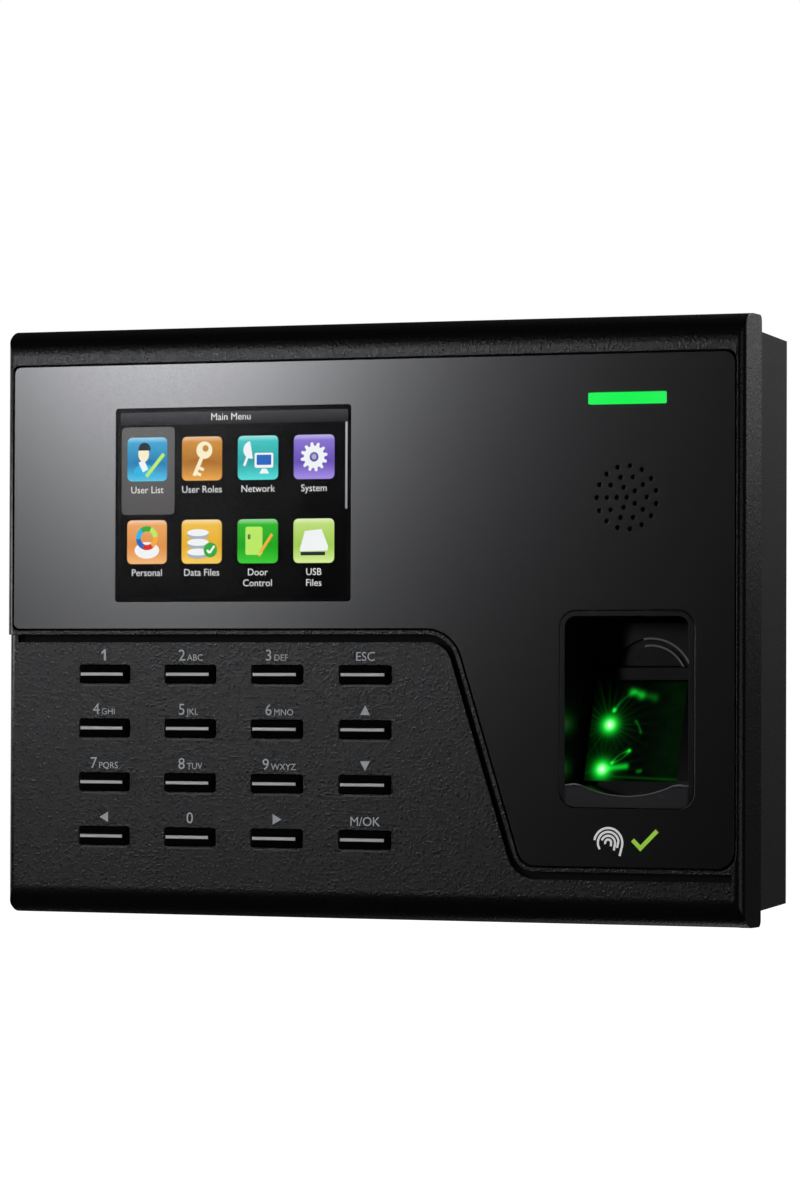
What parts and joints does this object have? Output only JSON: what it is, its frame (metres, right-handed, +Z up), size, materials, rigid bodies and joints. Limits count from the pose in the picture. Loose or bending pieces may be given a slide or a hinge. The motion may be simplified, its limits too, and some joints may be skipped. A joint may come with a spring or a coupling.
{
  "type": "fingerprint scanner terminal",
  "caption": "Wall-mounted access terminal with a colour display, a slotted keypad, a status light, a speaker and a sloped fingerprint reader in a recess.",
  "frame": {"origin": "on the wall, in the back face of the wall plate, behind the middle of the front cover", "axes": "+X right as seen from the front, +Z up, +Y into the wall, so the display faces -Y"},
  "size_m": [0.1826, 0.0405, 0.1372],
  "materials": {
    "plate_steel": "zinc-plated sheet steel",
    "housing_plastic": "fine-grained dark ABS",
    "cover_plastic": "leather-grained black ABS",
    "panel_plastic": "satin-gloss charcoal panel",
    "lens_plastic": "clear window over a black display",
    "light_plastic": "green translucent light bar",
    "foam": "black foam",
    "display_glass": "display cell",
    "diffuser": "white light guide",
    "sheet_metal": "bright sheet steel",
    "flex_film": "polyimide film",
    "guide_plastic": "dark satin plastic",
    "prism_glass": "optical prism lit green",
    "inner_plastic": "black moulded plastic",
    "led_resin": "clear resin",
    "circuit_board": "green solder mask",
    "wire_cover": "red wire insulation",
    "silicone": "grey silicone rubber",
    "chip_resin": "moulded epoxy",
    "relay_case": "blue relay case",
    "terminal_plastic": "green terminal housing",
    "switch_plastic": "white acetal",
    "key_plastic": "black key with a silvered ridge",
    "screw_steel": "zinc-plated steel"
  },
  "bodies": {
    "terminal": {"wall_plate": "plate_steel", "rear_housing": "housing_plastic", "front_cover": "cover_plastic", "front_panel": "panel_plastic", "screen_lens": "lens_plastic", "light_pipe": "light_plastic", "lcd_gasket": "foam", "lcd_glass": "display_glass", "lcd_backlight": "diffuser", "lcd_frame": "sheet_metal", "lcd_bracket": "sheet_metal", "lcd_flex": "flex_film", "finger_guide": "guide_plastic", "sensor_prism": "prism_glass", "sensor_housing": "inner_plastic", "sensor_camera": "inner_plastic", "sensor_leds": "led_resin", "sensor_board": "circuit_board", "sensor_ribbon": "flex_film", "speaker_gasket": "foam", "speaker": "inner_plastic", "speaker_lead": "wire_cover", "light_board": "circuit_board", "status_leds": "led_resin", "keypad_mat": "silicone", "keypad_board": "circuit_board", "keypad_header": "inner_plastic", "main_board": "circuit_board", "processor": "chip_resin", "memory_chips": "chip_resin", "relay": "relay_case", "coin_cell_holder": "inner_plastic", "coin_cell": "sheet_metal", "ethernet_jack": "sheet_metal", "power_jack": "inner_plastic", "terminal_block": "terminal_plastic", "usb_socket": "sheet_metal", "reset_switch": "inner_plastic", "tamper_switch": "inner_plastic", "case_screws": "screw_steel", "board_screws": "screw_steel", "lock_screw": "screw_steel"},
    "key_1": {"key_1": "key_plastic"},
    "key_2": {"key_2": "key_plastic"},
    "key_3": {"key_3": "key_plastic"},
    "key_esc": {"key_esc": "key_plastic"},
    "key_4": {"key_4": "key_plastic"},
    "key_5": {"key_5": "key_plastic"},
    "key_6": {"key_6": "key_plastic"},
    "key_up": {"key_up": "key_plastic"},
    "key_7": {"key_7": "key_plastic"},
    "key_8": {"key_8": "key_plastic"},
    "key_9": {"key_9": "key_plastic"},
    "key_down": {"key_down": "key_plastic"},
    "key_left": {"key_left": "key_plastic"},
    "key_0": {"key_0": "key_plastic"},
    "key_right": {"key_right": "key_plastic"},
    "key_ok": {"key_ok": "key_plastic"},
    "reset_button": {"reset_button": "switch_plastic"},
    "tamper_plunger": {"tamper_plunger": "switch_plastic"}
  },
  "joints": [
    {"name": "key_1_press", "type": "slide", "parent": "terminal", "child": "key_1", "axis": [0, 1, 0], "range_m": [0, 0.0008], "stiffness_N_per_m": 1900, "springref_m": -0.0001, "deforming": ["keypad_mat"]},
    {"name": "key_2_press", "type": "slide", "parent": "terminal", "child": "key_2", "axis": [0, 1, 0], "range_m": [0, 0.0008], "stiffness_N_per_m": 1900, "springref_m": -0.0001, "deforming": ["keypad_mat"]},
    {"name": "key_3_press", "type": "slide", "parent": "terminal", "child": "key_3", "axis": [0, 1, 0], "range_m": [0, 0.0008], "stiffness_N_per_m": 1900, "springref_m": -0.0001, "deforming": ["keypad_mat"]},
    {"name": "key_esc_press", "type": "slide", "parent": "terminal", "child": "key_esc", "axis": [0, 1, 0], "range_m": [0, 0.0008], "stiffness_N_per_m": 1900, "springref_m": -0.0001, "deforming": ["keypad_mat"]},
    {"name": "key_4_press", "type": "slide", "parent": "terminal", "child": "key_4", "axis": [0, 1, 0], "range_m": [0, 0.0008], "stiffness_N_per_m": 1900, "springref_m": -0.0001, "deforming": ["keypad_mat"]},
    {"name": "key_5_press", "type": "slide", "parent": "terminal", "child": "key_5", "axis": [0, 1, 0], "range_m": [0, 0.0008], "stiffness_N_per_m": 1900, "springref_m": -0.0001, "deforming": ["keypad_mat"]},
    {"name": "key_6_press", "type": "slide", "parent": "terminal", "child": "key_6", "axis": [0, 1, 0], "range_m": [0, 0.0008], "stiffness_N_per_m": 1900, "springref_m": -0.0001, "deforming": ["keypad_mat"]},
    {"name": "key_up_press", "type": "slide", "parent": "terminal", "child": "key_up", "axis": [0, 1, 0], "range_m": [0, 0.0008], "stiffness_N_per_m": 1900, "springref_m": -0.0001, "deforming": ["keypad_mat"]},
    {"name": "key_7_press", "type": "slide", "parent": "terminal", "child": "key_7", "axis": [0, 1, 0], "range_m": [0, 0.0008], "stiffness_N_per_m": 1900, "springref_m": -0.0001, "deforming": ["keypad_mat"]},
    {"name": "key_8_press", "type": "slide", "parent": "terminal", "child": "key_8", "axis": [0, 1, 0], "range_m": [0, 0.0008], "stiffness_N_per_m": 1900, "springref_m": -0.0001, "deforming": ["keypad_mat"]},
    {"name": "key_9_press", "type": "slide", "parent": "terminal", "child": "key_9", "axis": [0, 1, 0], "range_m": [0, 0.0008], "stiffness_N_per_m": 1900, "springref_m": -0.0001, "deforming": ["keypad_mat"]},
    {"name": "key_down_press", "type": "slide", "parent": "terminal", "child": "key_down", "axis": [0, 1, 0], "range_m": [0, 0.0008], "stiffness_N_per_m": 1900, "springref_m": -0.0001, "deforming": ["keypad_mat"]},
    {"name": "key_left_press", "type": "slide", "parent": "terminal", "child": "key_left", "axis": [0, 1, 0], "range_m": [0, 0.0008], "stiffness_N_per_m": 1900, "springref_m": -0.0001, "deforming": ["keypad_mat"]},
    {"name": "key_0_press", "type": "slide", "parent": "terminal", "child": "key_0", "axis": [0, 1, 0], "range_m": [0, 0.0008], "stiffness_N_per_m": 1900, "springref_m": -0.0001, "deforming": ["keypad_mat"]},
    {"name": "key_right_press", "type": "slide", "parent": "terminal", "child": "key_right", "axis": [0, 1, 0], "range_m": [0, 0.0008], "stiffness_N_per_m": 1900, "springref_m": -0.0001, "deforming": ["keypad_mat"]},
    {"name": "key_ok_press", "type": "slide", "parent": "terminal", "child": "key_ok", "axis": [0, 1, 0], "range_m": [0, 0.0008], "stiffness_N_per_m": 1900, "springref_m": -0.0001, "deforming": ["keypad_mat"]},
    {"name": "reset_button_press", "type": "slide", "parent": "terminal", "child": "reset_button", "axis": [0, -1, 0], "range_m": [0, 0.0003], "stiffness_N_per_m": 5000, "springref_m": -0.00005},
    {"name": "tamper_plunger_press", "type": "slide", "parent": "terminal", "child": "tamper_plunger", "axis": [0, -1, 0], "range_m": [0, 0.001], "stiffness_N_per_m": 600, "springref_m": -0.001}
  ]
}
